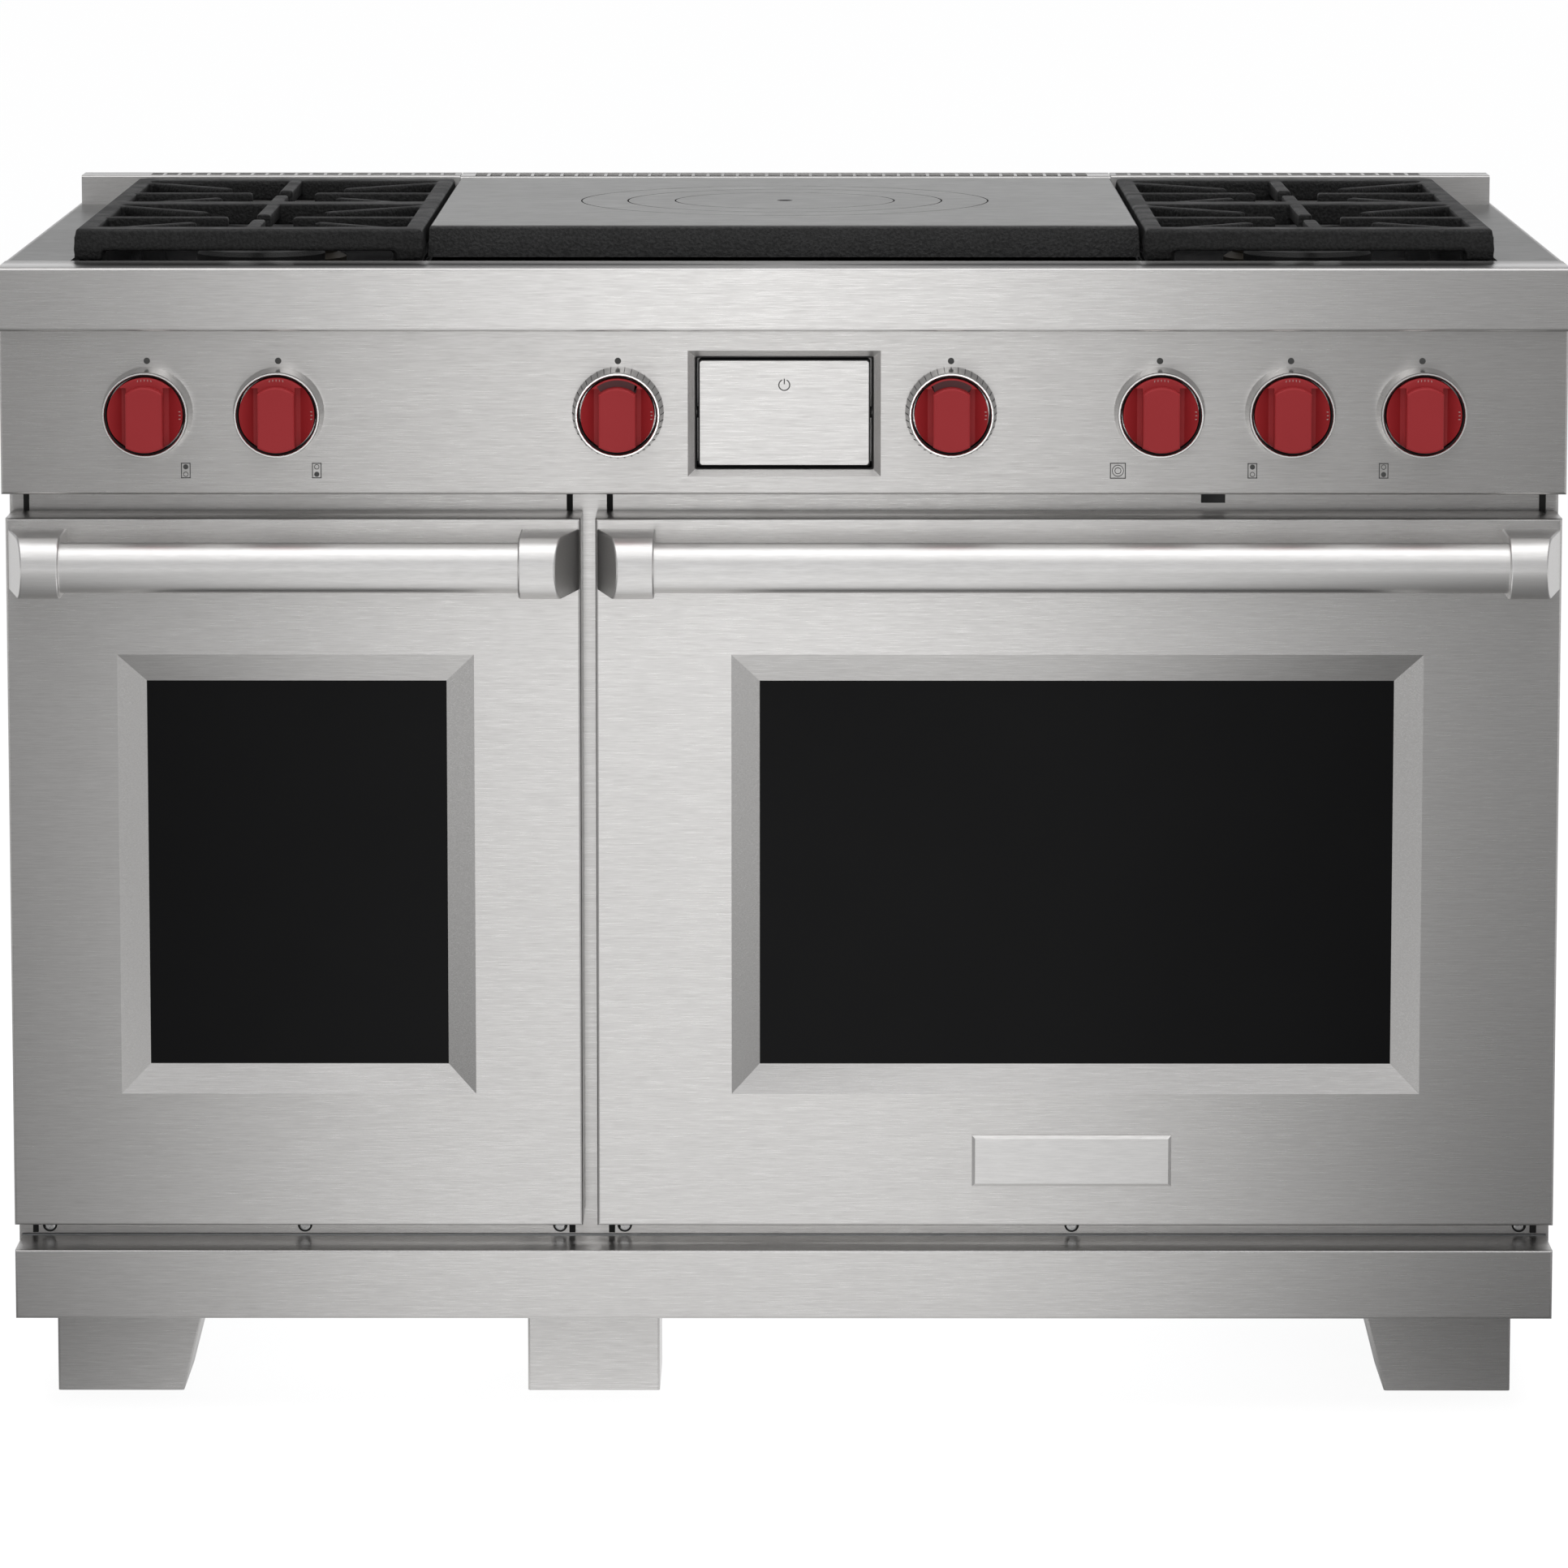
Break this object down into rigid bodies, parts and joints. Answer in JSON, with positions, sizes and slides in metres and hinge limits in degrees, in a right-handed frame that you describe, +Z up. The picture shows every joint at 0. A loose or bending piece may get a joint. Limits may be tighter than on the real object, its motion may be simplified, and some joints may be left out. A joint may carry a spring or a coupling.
{
  "type": "freestanding gas range",
  "caption": "Freestanding gas range with side by side ovens, open burners under cast grates, a French top plate, turn knobs and a turn-over control display.",
  "frame": {"origin": "on the floor at the centre of the overall box", "axes": "+X to the right of someone facing the front, +Y to the back, +Z up"},
  "size_m": [1.216, 0.776, 0.938],
  "materials": {
    "brushed_steel": "horizontally brushed stainless",
    "side_steel": "brushed stainless",
    "galvanised": "bare coated sheet",
    "polished_trim": "fine brushed with polished edges",
    "knob_red": "satin dark red",
    "plated_steel": "plated",
    "black_glass": "black tinted",
    "oven_enamel": "dark porcelain enamel",
    "cast_iron": "pebbled black casting",
    "burner_brass": "machined",
    "gas_pipe": "black pipe",
    "seal_black": "matte",
    "control_plastic": "moulded"
  },
  "bodies": {
    "root": {"base_frame": "galvanised", "bullnose": "brushed_steel", "burner_caps": "cast_iron", "burner_pans": "oven_enamel", "burners": "burner_brass", "control_panel": "brushed_steel", "cooktop_rails": "brushed_steel", "display_frame": "brushed_steel", "flue_grille": "brushed_steel", "french_top_burner": "cast_iron", "front_screws": "plated_steel", "front_seals": "seal_black", "gas_manifold": "gas_pipe", "gas_valves": "burner_brass", "hinge_receivers": "galvanised", "kick_panel": "brushed_steel", "knob_bezels": "polished_trim", "legs": "brushed_steel", "oven_burners": "plated_steel", "oven_controls": "control_plastic", "oven_front_left": "brushed_steel", "oven_front_right": "brushed_steel", "oven_liner_left": "oven_enamel", "oven_liner_right": "oven_enamel", "rack_guides": "plated_steel", "rear_panel": "galvanised", "risers": "brushed_steel", "side_panel_left": "side_steel", "side_panel_right": "side_steel"},
    "door_left": {"door_left_skin": "brushed_steel", "door_left_liner": "oven_enamel", "door_left_glass": "black_glass", "door_left_handle": "polished_trim", "door_left_brackets": "polished_trim", "door_left_hinges": "plated_steel"},
    "door_right": {"door_right_skin": "brushed_steel", "door_right_liner": "oven_enamel", "door_right_glass": "black_glass", "door_right_handle": "polished_trim", "door_right_brackets": "polished_trim", "door_right_hinges": "plated_steel", "badge_plate": "brushed_steel"},
    "valve_stem_1": {"valve_stem_1": "plated_steel"},
    "burner_knob_1": {"burner_knob_1": "knob_red"},
    "valve_stem_2": {"valve_stem_2": "plated_steel"},
    "burner_knob_2": {"burner_knob_2": "knob_red"},
    "valve_stem_3": {"valve_stem_3": "plated_steel"},
    "burner_knob_3": {"burner_knob_3": "knob_red"},
    "valve_stem_4": {"valve_stem_4": "plated_steel"},
    "burner_knob_4": {"burner_knob_4": "knob_red"},
    "valve_stem_5": {"valve_stem_5": "plated_steel"},
    "burner_knob_5": {"burner_knob_5": "knob_red"},
    "oven_knob_left": {"oven_knob_left": "knob_red"},
    "oven_knob_right": {"oven_knob_right": "knob_red"},
    "display": {"display_panel": "brushed_steel"},
    "grate_left": {"grate_left": "cast_iron"},
    "grate_right": {"grate_right": "cast_iron"},
    "french_top": {"french_top": "cast_iron"},
    "rack_left": {"rack_left": "plated_steel"},
    "rack_right": {"rack_right": "plated_steel"}
  },
  "joints": [
    {"name": "door_left_hinge", "type": "hinge", "parent": "root", "child": "door_left", "pos_m": [0, -0.29, 0.162], "axis": [1, 0, 0], "range_deg": [0, 90]},
    {"name": "door_right_hinge", "type": "hinge", "parent": "root", "child": "door_right", "pos_m": [0, -0.29, 0.162], "axis": [1, 0, 0], "range_deg": [0, 90]},
    {"name": "burner_knob_1_push", "type": "slide", "parent": "root", "child": "valve_stem_1", "axis": [0, 1, 0], "range_m": [0, 0.003], "stiffness_N_per_m": 2000, "springref_m": -0.002},
    {"name": "burner_knob_1_turn", "type": "hinge", "parent": "valve_stem_1", "child": "burner_knob_1", "pos_m": [-0.493, -0.34, 0.801], "axis": [0, 1, 0], "range_deg": [-270, 0]},
    {"name": "burner_knob_2_push", "type": "slide", "parent": "root", "child": "valve_stem_2", "axis": [0, 1, 0], "range_m": [0, 0.003], "stiffness_N_per_m": 2000, "springref_m": -0.002},
    {"name": "burner_knob_2_turn", "type": "hinge", "parent": "valve_stem_2", "child": "burner_knob_2", "pos_m": [-0.3913, -0.34, 0.801], "axis": [0, 1, 0], "range_deg": [-270, 0]},
    {"name": "burner_knob_3_push", "type": "slide", "parent": "root", "child": "valve_stem_3", "axis": [0, 1, 0], "range_m": [0, 0.003], "stiffness_N_per_m": 2000, "springref_m": -0.002},
    {"name": "burner_knob_3_turn", "type": "hinge", "parent": "valve_stem_3", "child": "burner_knob_3", "pos_m": [0.2913, -0.34, 0.801], "axis": [0, 1, 0], "range_deg": [-270, 0]},
    {"name": "burner_knob_4_push", "type": "slide", "parent": "root", "child": "valve_stem_4", "axis": [0, 1, 0], "range_m": [0, 0.003], "stiffness_N_per_m": 2000, "springref_m": -0.002},
    {"name": "burner_knob_4_turn", "type": "hinge", "parent": "valve_stem_4", "child": "burner_knob_4", "pos_m": [0.3927, -0.34, 0.801], "axis": [0, 1, 0], "range_deg": [-270, 0]},
    {"name": "burner_knob_5_push", "type": "slide", "parent": "root", "child": "valve_stem_5", "axis": [0, 1, 0], "range_m": [0, 0.003], "stiffness_N_per_m": 2000, "springref_m": -0.002},
    {"name": "burner_knob_5_turn", "type": "hinge", "parent": "valve_stem_5", "child": "burner_knob_5", "pos_m": [0.4944, -0.34, 0.801], "axis": [0, 1, 0], "range_deg": [-270, 0]},
    {"name": "oven_knob_left_turn", "type": "hinge", "parent": "root", "child": "oven_knob_left", "pos_m": [-0.1283, -0.34, 0.801], "axis": [0, 1, 0], "range_deg": [-320, 0]},
    {"name": "oven_knob_right_turn", "type": "hinge", "parent": "root", "child": "oven_knob_right", "pos_m": [0.1296, -0.34, 0.801], "axis": [0, 1, 0], "range_deg": [-320, 0]},
    {"name": "display_turn", "type": "hinge", "parent": "root", "child": "display", "pos_m": [0.0005, -0.306, 0.8], "axis": [1, 0, 0], "range_deg": [0, 180]},
    {"name": "grate_left_lift", "type": "slide", "parent": "root", "child": "grate_left", "axis": [0, 0, 1], "range_m": [0, 0.08]},
    {"name": "grate_right_lift", "type": "slide", "parent": "root", "child": "grate_right", "axis": [0, 0, 1], "range_m": [0, 0.08]},
    {"name": "french_top_lift", "type": "slide", "parent": "root", "child": "french_top", "axis": [0, 0, 1], "range_m": [0, 0.08]},
    {"name": "rack_left_slide", "type": "slide", "parent": "root", "child": "rack_left", "axis": [0, -1, 0], "range_m": [0, 0.04]},
    {"name": "rack_right_slide", "type": "slide", "parent": "root", "child": "rack_right", "axis": [0, -1, 0], "range_m": [0, 0.04]}
  ]
}
